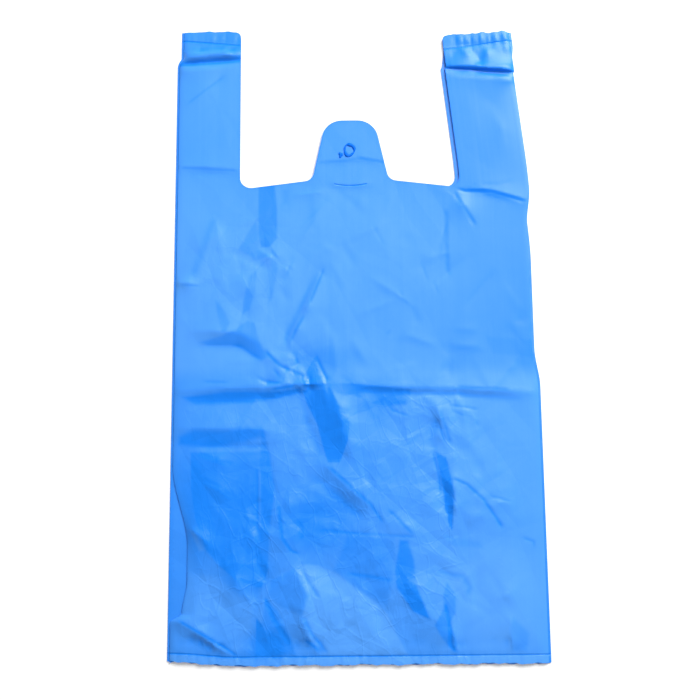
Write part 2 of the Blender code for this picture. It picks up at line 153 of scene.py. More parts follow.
LOWER_CREASES = (
    ((-138, 176, 0.6), (-110, 176, 2.0), (-71, 174, 1.9), (-55, 170, 1.2)),
    ((-136, 162, 0.3), (-105, 162, 0.4), (-70, 162, 0.4)),
    ((-44, 206, 0.5), (-38, 180, 0.4), (-27, 155, 0.8)),
    ((-20, 207, 3.4), (-12, 184, 4.2), (-4, 160, 3.0), (2, 145, 1.6)),
    ((4, 200, 1.4), (14, 182, 1.0), (22, 165, 1.0)),
    ((43, 204, 1.0), (55, 198, 1.9), (60, 190, 2.3), (67, 177, 2.0), (73, 157, 1.2)),
    ((60, 190, 2.2), (78, 189, 1.6), (96, 189, 0.8)),
    ((77, 205, 1.8), (77, 192, 2.0)),
    ((62, 182, 0.8), (56, 168, 0.6), (60, 150, 0.8)),
    ((73, 137, 2.4), (74, 118, 2.6), (72, 97, 1.2)),
    ((64, 139, 0.6), (67, 118, 0.4), (70, 98, 0.8)),
    ((73, 137, 2.4), (85, 130, 2.2), (94, 121, 2.0), (97, 110, 1.2)),
    ((97, 120, 1.4), (107, 117, 2.0), (119, 115, 1.0)),
    ((98, 111, 1.4), (103, 105, 1.6), (108, 99, 0.8)),
    ((-119, 155, 1.0), (-105, 151, 2.0), (-92, 145, 1.0)),
    ((-121, 138, 1.0), (-105, 129, 2.2), (-89, 119, 1.0)),
    ((-136, 100, 1.6), (-126, 92, 2.4), (-116, 81, 1.0)),
    ((-28, 151, 1.4), (-21, 144, 2.4), (-1, 124, 2.6), (12, 115, 2.2), (16, 101, 1.2)),
    ((-36, 140, 0.8), (-14, 122, 0.8), (2, 108, 0.8)),
    ((24, 112, 1.2), (36, 101, 2.4), (46, 90, 1.2)),
    ((-58, 120, 1.0), (-57, 93, 2.2), (-50, 80, 1.4)),
    ((-45, 105, 0.8), (-43, 90, 1.4)),
    ((-24, 94, 1.2), (10, 92, 1.8), (50, 93, 1.2)),
    ((-47, 70, 2.0), (-38, 52, 3.4), (-43, 34, 3.2), (-36, 18, 2.6), (-30, 8, 1.2)),
    ((-36, 74, 1.0), (-5, 57, 0.5), (12, 45, 0.4), (23, 26, 0.4), (31, 14, 0.6)),
    ((30, 66, 1.4), (46, 46, 2.8), (60, 28, 2.2), (62, 14, 1.0)),
    ((66, 57, 1.2), (70, 44, 1.6), (71, 15, 1.4), (73, 6, 0.6)),
    ((95, 43, 0.8), (110, 49, 1.9), (119, 56, 0.9)),
    ((112, 34, 1.8), (113, 10, 1.4)),
    ((-138, 34, 1.4), (-119, 23, 2.6), (-107, 14, 2.2), (-94, 7, 0.8)),
    ((-76, 33, 1.0), (-75, 9, 0.8)),
    ((-75, 34, 1.4), (-65, 13, 0.6)),
    ((-61, 30, 1.4), (-50, 12, 0.6)),
    ((-76, 140, 0.7), (-76, 40, 0.7)),
    ((73, 240, 0.8), (72, 215, 0.9)),
    ((-112, 78, 1.0), (-96, 62, 1.8), (-90, 44, 1.0)),
    ((-100, 110, 0.8), (-80, 96, 1.6), (-70, 78, 1.0)),
)
HANDLE_CREASES = (
    ((-140, 472.3, 0.1), (-116, 474, 0.1), (-90, 475.8, 0.1)),
    ((-140, 478.0, 2.6), (-116, 479.5, 2.8), (-90, 481.0, 2.6)),
    ((-140, 466, 1.2), (-116, 468, 1.1), (-90, 470, 0.8)),
    ((-136, 437, 0.4), (-120, 449, 0.9), (-104, 462, 0.4)),
    ((-140, 386, 0.6), (-116, 385, 1.0), (-92, 383, 0.5)),
    ((-140, 381, 0.2), (-116, 380, 0.2), (-92, 378, 0.2)),
    ((86, 467.4, 0.1), (100, 465.7, 0.1), (114, 464, 0.1), (140, 460.9, 0.1)),
    ((86, 473.5, 1.8), (112, 470.8, 2.6), (140, 467.5, 2.8)),
    ((86, 461, 0.8), (112, 458, 1.2), (140, 455, 1.6)),
    ((104, 488, 0.6), (112, 481, 0.6), (114, 473, 0.4)),
    ((98, 488, 1.4), (106, 480, 2.2)),
    ((119, 480, 2.4), (122, 487, 1.0)),
    ((100, 450, 0.8), (104, 420, 0.6), (104, 385, 0.4)),
    ((118, 440, 0.3), (124, 415, 0.7), (122, 390, 0.4)),
)
TAB_CREASES = (
    ((-27, 388, 0.4), (-7, 390, 0.6), (6, 391.5, 0.6), (20, 388.5, 0.5)),
    ((-27, 385, 0.2), (-7, 387, 0.3), (6, 388, 0.3), (21, 385, 0.2)),
    ((-21, 371.5, 0.5), (-14, 369.2, 0.6), (8, 369.0, 0.6), (14.5, 371.2, 0.5)),
    ((-21, 368.6, 0.3), (-14, 366.2, 0.3), (8, 366.0, 0.3), (14.5, 368.2, 0.3)),
)
ALL_CREASES = CENTRE_CREASE + UPPER_CREASES + LOWER_CREASES + HANDLE_CREASES + TAB_CREASES

SKIN_REACH = 26.0           # how far a crease lifts the skin beside it
CREASE_HOLD = 3.0           # how firmly a crease holds the skin
CREASE_GAIN = 1.45
GROUND = 1.5                # air under the film away from its creases

# Painted shade and sheen in broad patches: deeper where the film turns from the light, paler where a negative
# depth
# paints sheen on it: x, y, reach across and up, and how deep
SHADE_AND_SHEEN_PATCHES = (
    (-104, 110, 40, 48, 0.18),
    (-60, 112, 34, 40, 0.14),
    (-5, 110, 30, 40, 0.12),
    (-120, 40, 18, 24, -0.06),
    (40, 290, 70, 70, -0.08),
    (95, 110, 50, 60, -0.05),
    (20, 150, 36, 40, 0.10),
    (-32, 104, 28, 24, 0.36),
    (-85, 66, 22, 14, 0.45),
    (-132, 118, 12, 50, 0.25),
    (-70, 12, 16, 14, 0.45),
    (102, 44, 42, 44, -0.32),
    (-12, 209, 42, 7, 0.35),
    (60, 209, 40, 6, 0.20),
    (12, 191, 16, 13, 0.30),
    (-22, 229, 28, 10, 0.35),
)

# Painted shade on flat facets between folds, where they lie, paler as painted light for a negative depth:
# how deep, how far their edge fades, and their corners
SHADED_FACETS = (
    (0.20, 1.5, (-127, 158), (-126, 130), (-122, 108), (-114, 84), (-104, 72), (-90, 62), (-72, 56),
     (-67, 70), (-66, 100), (-62, 130), (-66, 158)),
    (-0.24, 1.5, (-45, 73), (-30, 73), (-15, 66), (0, 54), (12, 46), (22, 36), (28, 22), (36, 7), (-28, 7),
     (-36, 18), (-42, 35), (-37, 50)),
    (0.45, 1.0, (-76, 34), (-72, 30), (-66, 16), (-62, 7), (-76, 7)),
    (0.20, 2.0, (-70, 50), (-60, 40), (-50, 20), (-46, 7), (-62, 7), (-72, 30)),
    (0.12, 2.0, (-65, 62), (-47, 71), (-38, 50), (-42, 36), (-58, 42), (-68, 50)),
    (0.38, 2.0, (31, 91), (38, 90), (42.5, 75), (43, 58), (53, 32), (40, 38), (28, 55), (27, 68)),
    (0.25, 2.0, (28, 60), (43, 58), (53, 32), (40, 38)),
    (0.16, 4.0, (-8, 97), (28, 93), (30, 80), (27, 60), (22, 40), (12, 46), (-5, 58), (-20, 68)),
    (0.32, 1.2, (66, 59), (72.5, 50), (72, 37), (68, 30), (73, 14), (70, 8), (61, 19), (56, 28), (63, 40),
     (63, 50)),
    (0.50, 1.2, (60, 156), (68, 152), (71, 137), (73, 125), (72, 108), (71, 97), (69, 100), (66, 115),
     (65, 130), (62, 145)),
    (0.20, 3.0, (114, 35), (120, 29), (127, 22), (125, 8), (112, 8), (111, 25)),
    (0.12, 2.5, (64, 95), (71, 93), (92, 89), (95, 83), (72, 85), (64, 91)),
    (0.36, 4.0, (-137, 201), (-100, 205.5), (-60, 205.5), (-42, 207), (-42, 202), (-60, 198), (-80, 194),
     (-125, 193)),
    (0.28, 5.0, (-138, 171), (-125, 177), (-100, 176), (-85, 178), (-71, 178), (-69, 168), (-85, 163),
     (-100, 161), (-120, 160), (-138, 162)),
    (0.20, 2.0, (-73, 178), (-69, 172), (-66, 150), (-64, 120), (-72, 120), (-74, 150)),
    (0.50, 1.2, (-41, 204), (-20, 205), (-5, 179), (-7, 165), (-13, 149), (-22, 149), (-26, 162),
     (-30, 178), (-38, 194)),
    (0.40, 1.2, (-41, 214), (-33, 228), (-30, 231), (-22, 210), (-22, 207), (-40, 207)),
    (0.30, 2.0, (-122, 243), (-104, 248), (-92, 254), (-84, 260), (-78, 258), (-76, 250), (-72, 238),
     (-68, 230), (-73, 227), (-80, 231), (-88, 237), (-97, 240), (-115, 240)),
    (0.36, 2.5, (-22, 209), (-5, 209.5), (20, 207), (42, 205), (42, 199), (38, 192), (20, 191), (5, 197),
     (-14, 201)),
    (0.10, 3.0, (100, 246), (137, 243), (139, 227), (125, 229), (105, 231)),
    (0.36, 1.5, (-76, 369), (-63, 370), (-61, 350), (-61, 325), (-67, 318), (-74, 318), (-76, 330)),
    (0.24, 2.0, (-77, 342), (-82, 335), (-92, 317), (-77, 307), (-67, 311), (-75, 317)),
    (0.24, 2.0, (-67, 310), (-75, 303), (-83, 295), (-88, 275), (-88, 264), (-82, 268), (-78, 280),
     (-76, 300)),
    (0.24, 2.0, (-66, 320), (-61, 312), (-60, 300), (-65, 275), (-69, 272), (-69, 285), (-66, 300)),
    (0.24, 2.0, (-110, 278), (-103, 270), (-97, 258), (-100, 250), (-104, 250), (-107, 262)),
    (-0.20, 1.5, (-127, 100), (-122, 97), (-115, 84), (-119, 83)),
    (-0.10, 4.0, (-128, 69), (-105, 66), (-88, 52), (-78, 44), (-78, 10), (-92, 10), (-112, 22),
     (-133, 34)),
)

# Sharp crease lines, where they lie, painted as shade (as light for a negative depth) and sunk as shallow
# grooves:
# how deep, how wide, and their points
STROKES = (
    (0.55, 1.6, (-72, 237), (-58, 223), (-38, 214)),
    (0.35, 1.3, (-65, 223), (-57, 213)),
    (0.35, 1.2, (-77, 215), (-70, 211), (-55, 210)),
    (0.45, 1.2, (-48, 235), (-44, 222)),
    (0.25, 1.2, (-52, 240), (-45, 253)),
    (0.50, 1.4, (-31, 230), (-22, 210)),
    (0.20, 1.0, (-120, 212), (-97, 211)),
    (0.35, 1.0, (-67, 205), (-45, 208)),
    (0.35, 1.0, (75, 206), (120, 203)),
    (0.30, 1.0, (70, 192), (95, 188)),
    (0.25, 1.0, (72, 188), (85, 182)),
    (0.20, 1.2, (90, 182), (95, 172)),
    (0.30, 1.1, (63, 190), (67, 178), (72, 160)),
    (0.30, 1.1, (62, 180), (68, 162)),
    (0.35, 1.2, (57, 158), (62, 138), (63, 122)),
    (0.45, 1.3, (70, 137), (83, 131), (95, 120), (105, 105), (110, 97)),
    (0.25, 1.0, (98, 123), (118, 117.5)),
    (0.30, 1.1, (20, 198), (28, 188), (42, 183)),
    (0.35, 1.2, (-23, 147), (0, 126), (10, 117), (20, 102)),
    (0.35, 1.2, (22, 114), (33, 103), (43, 93)),
    (0.30, 1.5, (-122, 157), (-103, 150), (-93, 148)),
    (0.35, 1.6, (-120, 138), (-107, 132), (-92, 122)),
    (0.45, 1.0, (-135, 34), (-112, 21), (-88, 6)),
    (0.35, 1.2, (-45, 73), (-37, 60), (-28, 47)),
    (0.45, 1.5, (-70, 50), (-63, 33), (-50, 14)),
    (0.45, 1.5, (-42, 37), (-35, 23), (-22, 7)),
    (0.50, 1.6, (-42, 20), (-25, 8)),
    (0.30, 1.2, (-60, 120), (-57, 93), (-50, 83), (-42, 80)),
    (0.25, 1.2, (-43, 105), (-42, 90)),
    (0.22, 1.3, (-30, 98), (-5, 96), (20, 94), (44, 93)),
    (0.18, 1.6, (-10, 66), (8, 64), (28, 60)),
    (0.20, 1.2, (-76, 146), (-76, 96)),
    (-0.22, 1.2, (-74, 146), (-74, 96)),
    (0.40, 1.3, (64, 45), (67, 30), (68, 13), (75, 6)),
    (0.25, 2.0, (57, 67), (68, 65), (78, 63), (83, 55), (80, 47)),
    (0.30, 1.2, (122, 92), (132, 88), (132.5, 82)),
    (0.25, 1.0, (-139, 289), (-119, 287)),
    (0.20, 1.1, (-55, 292), (-49, 308)),
    (0.35, 1.0, (-36, 271), (-24, 302)),
    (0.30, 1.2, (-49, 247), (-39, 265)),
    (0.22, 3.0, (-111, 344), (-120, 315), (-128, 294)),
    (0.14, 3.5, (-55, 369), (-55, 350)),
    (0.12, 4.0, (-36, 366), (-33, 330)),
    (0.25, 2.0, (72, 350), (72.5, 293)),
    (0.50, 1.6, (78, 363), (86, 350), (96, 333)),
    (0.70, 1.2, (80, 365), (88, 362.5), (108, 362), (123, 357.5), (137, 353)),
    (0.25, 1.3, (93, 366), (98, 370)),
    (0.15, 2.0, (100, 367.5), (115, 367.5), (128, 371)),
    (0.15, 1.2, (52, 304), (58, 287)),
    (0.12, 1.2, (60, 292), (66, 277)),
    (0.12, 1.5, (14, 337), (24, 317)),
    (0.12, 1.5, (34, 284), (42, 267)),
    (0.20, 1.3, (22, 245), (28, 252)),
    (0.90, 1.4, (-145, 472), (-139, 472.4), (-91, 475.8), (-85, 476)),
    (0.90, 1.4, (68, 466.4), (75, 466.2), (95, 466), (111, 462.4), (128, 461.4), (134, 461)),
    (0.22, 1.1, (-140, 384.6), (-91, 381.4)),
    (0.20, 1.1, (-135, 437), (-104, 462)),
    (0.16, 1.3, (-32, 387), (-7, 389), (5, 391)),
    (0.30, 1.3, (0, 392), (10, 390), (20, 388), (28, 386)),
)

# How much darker, as painted shade, or paler, as painted light, a sharp crease line and a facet turn the film
# for each part of their depth
LINE_TONE = 1.5
FACET_TONE = 1.65

# Where fine creases run close together, first the whole bag: x, y, reach across and up, and how many
CRUMPLED = (
    (0, 190, 140, 180, 120),
    (-45, 218, 30, 26, 34),
    (60, 180, 34, 26, 26),
    (-30, 118, 60, 50, 60),
    (0, 40, 90, 34, 70),
    (-100, 60, 40, 50, 24),
    (80, 110, 40, 50, 24),
    (-90, 300, 44, 44, 22),
)


def smooth(value, start, end):
    """0 before start, 1 after end and an even curve between, for arrays too."""
    share = np.clip((value - start) / (end - start), 0.0, 1.0)
    return share * share * (3 - 2 * share)


def rounded(corners, arc_step=6.0):
    """An outline with each corner (x, y, radius) turned into an arc; a radius of 0 stays sharp."""
    points = []
    for index, (x, y, radius) in enumerate(corners):
        corner = Vector((x, y))
        if not radius:
            points.append(corner)
            continue
        before = (Vector(corners[index - 1][:2]) - corner).normalized()
        after = (Vector(corners[(index + 1) % len(corners)][:2]) - corner).normalized()
        half_angle = before.angle(after) / 2
        middle = corner + (before + after).normalized() * radius / math.sin(half_angle)
        start = corner + before * radius / math.tan(half_angle) - middle
        turn = math.pi - 2 * half_angle
        if before.x * after.y - before.y * after.x > 0:
            turn = -turn
        steps = max(3, round(abs(math.degrees(turn)) / arc_step))
        for step in range(steps + 1):
            spin = Matrix.Rotation(turn * step / steps, 2)
            points.append(middle + spin @ start)
    return np.array([tuple(point) for point in points])


def cut_outline():
    """What the die takes out between the handles, round the tab, with the handles' inner top corners."""
    half = [
        (TAB_TOP_HALF, TAB_TOP_Y, TAB_SHOULDER_RADIUS),
        (TAB_FOOT_HALF, TAB_FOOT_Y, TAB_FOOT_FILLET),
        (HANDLE_INNER, NECK_Y, NECK_FILLET),
        (HANDLE_INNER, LENGTH, CORNER_RADIUS),
        (HANDLE_INNER + 2 * CORNER_RADIUS, LENGTH, 0),
        (HANDLE_INNER + 2 * CORNER_RADIUS, LENGTH + 40.0, 0),
    ]
    right = [(CUT_X + x, y, radius) for x, y, radius in half]
    left = [(CUT_X - x, y, radius) for x, y, radius in reversed(half)]
    return rounded(left + right)


CUT = cut_outline()


def inside(points, outline):
    """Which points lie inside a closed outline."""
    x, y = points[:, 0], points[:, 1]
    result = np.zeros(len(points), bool)
    for (x0, y0), (x1, y1) in zip(outline, np.roll(outline, -1, axis=0)):
        crosses = (y0 > y) != (y1 > y)
        if y1 != y0:
            result ^= crosses & (x < (x1 - x0) * (y - y0) / (y1 - y0) + x0)
    return result


def nearest_on(points, outline, closed=True):
    """For each point, the nearest point of an outline."""
    best = np.full(len(points), np.inf)
    result = points.copy()
    ends = np.roll(outline, -1, axis=0) if closed else outline[1:]
    for start, end in zip(outline, ends):
        line = end - start
        length = line @ line
        if length < 1e-12:
            continue
        share = np.clip((points - start) @ line / length, 0.0, 1.0)
        spot = start + share[:, None] * line
        away = np.sum((points - spot) ** 2, axis=1)
        closer = away < best
        best[closer] = away[closer]
        result[closer] = spot[closer]
    return result


def distance_to_cut(points):
    """How far flat points lie from the die's outline."""
    return np.sqrt(np.sum((points - nearest_on(points, CUT)) ** 2, axis=1))


# Skin over the creases

class Skin:
    """Heights over the flat front panel: a skin held up along its creases and sinking between them."""

    def __init__(self, creases, pitch):
        self.pitch = pitch
        self.columns = round(2 * HALF_FRONT / pitch) + 1
        self.rows = round(LENGTH / pitch) + 1
        self.x = np.linspace(-HALF_FRONT, HALF_FRONT, self.columns)
        self.y = np.linspace(0.0, LENGTH, self.rows)
        self.height = self.solve(creases)

    def places(self, points):
        """Grid cells and weights that give the value at any points."""
        u = np.clip((points[:, 0] + HALF_FRONT) / (2 * HALF_FRONT), 0, 1) * (self.columns - 1)
        v = np.clip(points[:, 1] / LENGTH, 0, 1) * (self.rows - 1)
        column = np.minimum(u.astype(int), self.columns - 2)
        row = np.minimum(v.astype(int), self.rows - 2)
        s, t = u - column, v - row
        first = row * self.columns + column
        cells = np.stack([first, first + 1, first + self.columns, first + self.columns + 1], axis=1)
        weights = np.stack([(1 - s) * (1 - t), s * (1 - t), (1 - s) * t, s * t], axis=1)
        return cells, weights

    def solve(self, creases):
        """Least stretch between the creases, by conjugate gradients."""
        spots = []
        for crease in creases:
            for run, ((x0, y0, h0), (x1, y1, h1)) in enumerate(zip(crease, crease[1:])):
                steps = max(2, math.ceil(math.hypot(x1 - x0, y1 - y0) / (0.5 * self.pitch)))
                for step in range(steps + 1):
                    share = step / steps
                    along = (run + share) / (len(crease) - 1)
                    grip = 0.04 + 0.96 * min(1.0, 4 * along, 4 * (1 - along))
                    spot = [a + share * (b - a) for a, b in ((x0, x1), (y0, y1), (h0, h1))]
                    spots.append((*spot, grip))
        spots = np.array(spots)
        hold = CREASE_HOLD * spots[:, 3]
        cells, weights = self.places(spots[:, :2])
        size = self.columns * self.rows
        sink = (self.pitch / SKIN_REACH) ** 2
        gx, gy = np.meshgrid(self.x, self.y)
        ground = ground_height(gx, gy)
        free = np.ones((self.rows, self.columns))
        free[:, 0] = 0
        free[:, -1] = 0
        free = free.ravel()

        def stretch(values):
            field = values.reshape(self.rows, self.columns)
            result = sink * field
            across = np.diff(field, axis=1)
            along = np.diff(field, axis=0)
            result[:, :-1] -= across
            result[:, 1:] += across
            result[:-1] -= along
            result[1:] += along
            flat = result.ravel()
            held = np.sum(values[cells] * weights, axis=1)
            pull = (held[:, None] * hold[:, None] * weights).ravel()
            return (flat + np.bincount(cells.ravel(), pull, size)) * free

        target = sink * ground.ravel()
        wanted = (spots[:, 2:3] * CREASE_GAIN * hold[:, None] * weights).ravel()
        target = (target + np.bincount(cells.ravel(), wanted, size)) * free
        values = np.zeros(size)
        residual = target - stretch(values)
        direction = residual.copy()
        energy = residual @ residual
        for _ in range(500):
            along = stretch(direction)
            step = energy / (direction @ along)
            values += step * direction
            residual -= step * along
            fresh = residual @ residual
            if fresh < 1e-10 * size:
                break
            direction = residual + fresh / energy * direction
            energy = fresh
        return np.maximum(values, 0.0).reshape(self.rows, self.columns)

    def sample(self, points, field=None):
        """The height, or another field of the grid, at flat points."""
        cells, weights = self.places(points)
        values = (self.height if field is None else field).ravel()
        return np.sum(values[cells] * weights, axis=1)

    def hollows(self):
        """Where the skin is dished: positive in a valley, negative on a ridge."""
        field = self.height
        result = np.zeros_like(field)
        result[1:-1, 1:-1] = (field[1:-1, 2:] + field[1:-1, :-2] + field[2:, 1:-1] + field[:-2, 1:-1]
                              - 4 * field[1:-1, 1:-1])
        for _ in range(3):
            result[1:-1, 1:-1] = (result[1:-1, 1:-1] * 4 + result[1:-1, 2:] + result[1:-1, :-2]
                                  + result[2:, 1:-1] + result[:-2, 1:-1]) / 8
        return result


def ground_height(x, y):
    """Air under the film away from the creases: a low pillow with slow waves."""
    edge = smooth(HALF_FRONT - np.abs(x), 0.0, 45.0) * smooth(y, 0.0, 50.0)
    body = 1 - 0.75 * smooth(y, NECK_Y - 60.0, NECK_Y)
    waves = 0.5 * np.sin(x / 23.0 + y / 61.0) * np.sin(y / 37.0 - x / 71.0 + 1.0)
    return (GROUND * body + waves) * edge


def fine_creases(flat, seed):
    """Short straight creases, sharp on one side and soft on the other, as handled film has."""
    chance = np.random.default_rng(seed)
    result = np.zeros(len(flat))
    for middle_x, middle_y, reach_x, reach_y, count in CRUMPLED:
        for _ in range(count):
            x = np.clip(middle_x + chance.normal() * reach_x / 2, -HALF_FRONT + 4, HALF_FRONT - 4)
            y = np.clip(middle_y + chance.normal() * reach_y / 2, 8, NECK_Y - 4)
            angle = math.radians(chance.choice([-65, -35, 20, 60, 85]) + chance.normal() * 14)
            half = chance.uniform(5, 24)
            height = chance.uniform(0.15, 0.50) * chance.choice([1, 1, -1])
            sharp, soft = chance.uniform(1.5, 2.4), chance.uniform(3.0, 9.0)
            if chance.random() < 0.5:
                sharp, soft = soft, sharp
            dx, dy = flat[:, 0] - x, flat[:, 1] - y
            along = (dx * math.cos(angle) + dy * math.sin(angle)) / half
            across = dy * math.cos(angle) - dx * math.sin(angle)
            near = np.abs(along) < 1
            reach = np.where(across[near] > 0, sharp, soft)
            taper = 1 - along[near] ** 2
            result[near] += height * taper * np.exp(-np.abs(across[near]) / reach)
    return result


def puckers(middle_y, start, end, pitch, reach, skirt, height, seed):
    """Short creases that run out from a weld on both sides, closer and higher in places."""
    chance = np.random.default_rng(seed)
    result = [((start, middle_y, 0.15), (end, middle_y, 0.15))]
    x = start + pitch * 0.4
    while x < end - 1:
        bunch = 0.55 + 0.45 * math.sin(x / 9.0 + seed) * math.sin(x / 23.0 + 1.3)
        peak = height * (0.4 + 0.6 * bunch) * chance.uniform(0.6, 1.2)
        lean = chance.uniform(-1.5, 1.5)
        inward = math.copysign(1.0, LENGTH / 2 - middle_y)
        far = reach * chance.uniform(0.35, 1.0)
        result.append(((x, middle_y + inward * 1.6, peak), (x + lean, middle_y + inward * far, 0.5)))
        result.append(((x + lean * 0.3, middle_y - inward * 1.4, peak * 1.2),
                       (x + lean * 0.5, middle_y - inward * skirt, peak * 1.6)))
        gap = pitch * chance.uniform(0.6, 1.5)
        between = x + gap / 2
        result.append(((between, middle_y - inward * 1.4, 0.1), (between, middle_y - inward * skirt, 0.1)))
        x += gap
    return tuple(result)


# Shape of the film

def lean_shift(x, y):
    """Sideways shift of the right handle, which leans towards the middle."""
    above = y - NECK_Y
    bend = (np.maximum(above, -LEAN_BEND) + LEAN_BEND) ** 2 / (4 * LEAN_BEND)
    rise = np.where(above > LEAN_BEND, above, bend)
    return -math.tan(math.radians(LEAN)) * rise * smooth(x, HANDLE_INNER / 2, HANDLE_INNER)


def above_tuck(x, y):
    """How far a place lies above the fold across its handle."""
    left = TUCK_LEFT_Y + 0.07 * (x + HALF_FRONT - HANDLE_WIDTH / 2)
    right = TUCK_RIGHT_Y - 0.12 * (x - HALF_FRONT + HANDLE_WIDTH / 2)
    return y - np.where(x < 0, left, right)


def tuck_shift(x, y):
    """Step to the right of what lies above the fold across each handle."""
    left = TUCK_DRAW * smooth(-x, HANDLE_INNER, HALF_FRONT)
    right = TUCK_STEP * smooth(x, HANDLE_INNER / 2, HANDLE_INNER)
    return np.where(x < 0, left, right) * smooth(above_tuck(x, y), 0.0, TUCK_REACH)


def edge_draw(x, y):
    """How far the right side fold lies in from where it was pressed, above the centre crease."""
    goes = smooth(y, NECK_Y - EDGE_DRAW_RUN, NECK_Y)
    along = smooth(y, CENTRE_CREASE_Y, CENTRE_CREASE_Y + EDGE_DRAW_RUN) * (1 - goes)
    return -EDGE_DRAW * along * smooth(x, INNER_FOLD, HALF_FRONT)


def drop(x, y):
    """How far the right handle, turned and tucked, and the hem's left corner lie along from their places."""
    turned = math.tan(math.radians(HANDLE_TURN)) * (x - HALF_FRONT + HANDLE_WIDTH / 2)
    turned *= smooth(y, NECK_Y, HANDLE_WELD_Y)
    taken = TUCK_TAKE_UP * smooth(above_tuck(x, y), 0.0, TUCK_REACH)
    corner = CORNER_LIFT * smooth(-x, HANDLE_INNER, HALF_FRONT) * (1 - smooth(y, 0.0, 45.0))
    return (turned - taken) * smooth(x, 0.0, HANDLE_INNER / 2) + corner


def slide(x, y):
    """Where the handles and side folds lie beside their flat places."""
    return lean_shift(x, y) + tuck_shift(x, y) + edge_draw(x, y)


def pull_shift(x, y):
    """The left front fold, drawn in towards the middle near the hem."""
    along = smooth(y, 31.0, 38.0) * (1 - 0.3 * smooth(62.0 - y, 0.0, 25.0)) * (1 - smooth(y, 86.0, 148.0))
    return PULL_IN * along * smooth(-x, INNER_FOLD - 10, HALF_FRONT)


def under_shift(x, y):
    """The right handle's lower layers, slipped towards the middle of the bag."""
    along = smooth(y, NECK_Y - SHIFT_RUN, NECK_Y) * smooth(HANDLE_WELD_Y - y, 0.0, SHIFT_RUN / 3)
    return -UNDER_SHIFT * along * smooth(x, HANDLE_INNER / 2, HANDLE_INNER)


def edge_ripple(x, amount, seed):
    """A small unevenness along a cut edge."""
    waves = ((0.5, 2.9, 1), (0.3, 1.3, 2), (0.4, 7.7, 3))
    return amount * sum(share * np.sin(x / wave + turn * seed) for share, wave, turn in waves)


def cut_edges(x, y, seed):
    """How far the cut ends of the film wander along the bag."""
    hem = edge_ripple(x, 0.8, seed) * (1 - smooth(y, 0.0, HEM_WELD_Y))
    top = edge_ripple(x, 1.1, seed + 5) * smooth(y, HANDLE_WELD_Y, LENGTH) * np.where(x > 0, 1.2, 0.6)
    return hem + top


# Meshes

def get_points(mesh):
    """A mesh's points as an array."""
    values = np.empty(len(mesh.vertices) * 3)
    mesh.vertices.foreach_get("co", values)
    return values.reshape(-1, 3)


def set_points(mesh, points):
    """Put an array of points back into a mesh."""
    mesh.vertices.foreach_set("co", points.ravel())
    mesh.update()


def get_corners(mesh):
    """The point at each face corner, in the order of the faces."""
    corners = np.empty(len(mesh.loops), int)
    mesh.loops.foreach_get("vertex_index", corners)
    return corners


def select_none():
    """Start afresh before a primitive is added or a piece is worked on."""
    bpy.ops.object.select_all(action="DESELECT")


def add_grid(name, columns, rows):
    """A flat grid primitive of that many cells, one unit across."""
    select_none()
    bpy.ops.mesh.primitive_grid_add(x_subdivisions=columns, y_subdivisions=rows, size=1.0)
    sheet = bpy.context.object
    sheet.name = name
    sheet.data.name = name
    return sheet


def edit_faces(mesh, chosen):
    """Enter edit mode with the chosen faces selected."""
    bpy.ops.object.mode_set(mode="EDIT")
    bpy.ops.mesh.select_mode(type="FACE")
    bpy.ops.mesh.select_all(action="DESELECT")
    bpy.ops.object.mode_set(mode="OBJECT")
    mesh.polygons.foreach_set("select", chosen)
    bpy.ops.object.mode_set(mode="EDIT")


def die_cut(sheet):
    """Take out the faces between the handles and draw the new border onto the die's outline."""
    mesh = sheet.data
    points = get_points(mesh)
    corners = get_corners(mesh).reshape(-1, 4)
    centres = points[corners].mean(axis=1)
    gone = inside(centres[:, :2], CUT)
    kept_use = np.zeros(len(points), int)
    np.add.at(kept_use, corners[~gone].ravel(), 1)
    gone_use = np.zeros(len(points), int)
    np.add.at(gone_use, corners[gone].ravel(), 1)
    border = (kept_use > 0) & (gone_use > 0)
    flat = points[:, :2].copy()
    flat[border] = nearest_on(flat[border], CUT)
    points[:, :2] = flat
    set_points(mesh, points)
    edit_faces(mesh, gone)
    bpy.ops.mesh.delete(type="FACE")
    bpy.ops.object.mode_set(mode="OBJECT")


def write_flat_map(mesh, flat):
    """UV map of the film laid out flat: one unit is the bag's length."""
    layer = mesh.uv_layers.active or mesh.uv_layers.new(name="UVMap")
    uv = np.stack([flat[:, 0] / LENGTH + 0.5, flat[:, 1] / LENGTH], axis=1)[get_corners(mesh)]
    layer.data.foreach_set("uv", uv.ravel())


def write_value(mesh, name, values):
    """A number from 0 to 1 at each point, for the material."""
    layer = mesh.attributes.new(name, "FLOAT", "POINT")
    layer.data.foreach_set("value", np.clip(values, 0.0, 1.0))


def crumple(flat):
    """How crumpled the film is: little near the neck, most below the centre crease."""
    result = 0.12 + 0.36 * (1 - smooth(flat[:, 1], 180.0, 225.0))
    for *place, _ in CRUMPLED[1:]:
        result += 0.3 * patch(flat, *place)
    result *= 1 - 0.6 * smooth(flat[:, 0], INNER_FOLD - 5, INNER_FOLD + 5)
    return result * smooth(HALF_BACK - np.abs(flat[:, 0]), 0.0, 12.0)


def thicken(sheet):
    """Give a sheet its film wall, shaded by its broad faces and not by its thin rim."""
    sheet.data.shade_smooth()
    wall = sheet.modifiers.new("film", "SOLIDIFY")
    wall.thickness = FILM * MM
    wall.offset = 0
    wall.use_even_offset = False
    shading = sheet.modifiers.new("shading", "WEIGHTED_NORMAL")
    shading.mode = "FACE_AREA"
    shading.weight = 100
    select_none()
    sheet.select_set(True)
    bpy.context.view_layer.objects.active = sheet
    for step in (wall.name, shading.name):
        bpy.ops.object.modifier_apply(modifier=step)


def patch(flat, x, y, reach_x, reach_y):
    """A soft oval patch, 1 in its middle."""
    across = (flat[:, 0] - x) / reach_x
    along = (flat[:, 1] - y) / reach_y
    return np.exp(-(across ** 2 + along ** 2) ** 1.6)


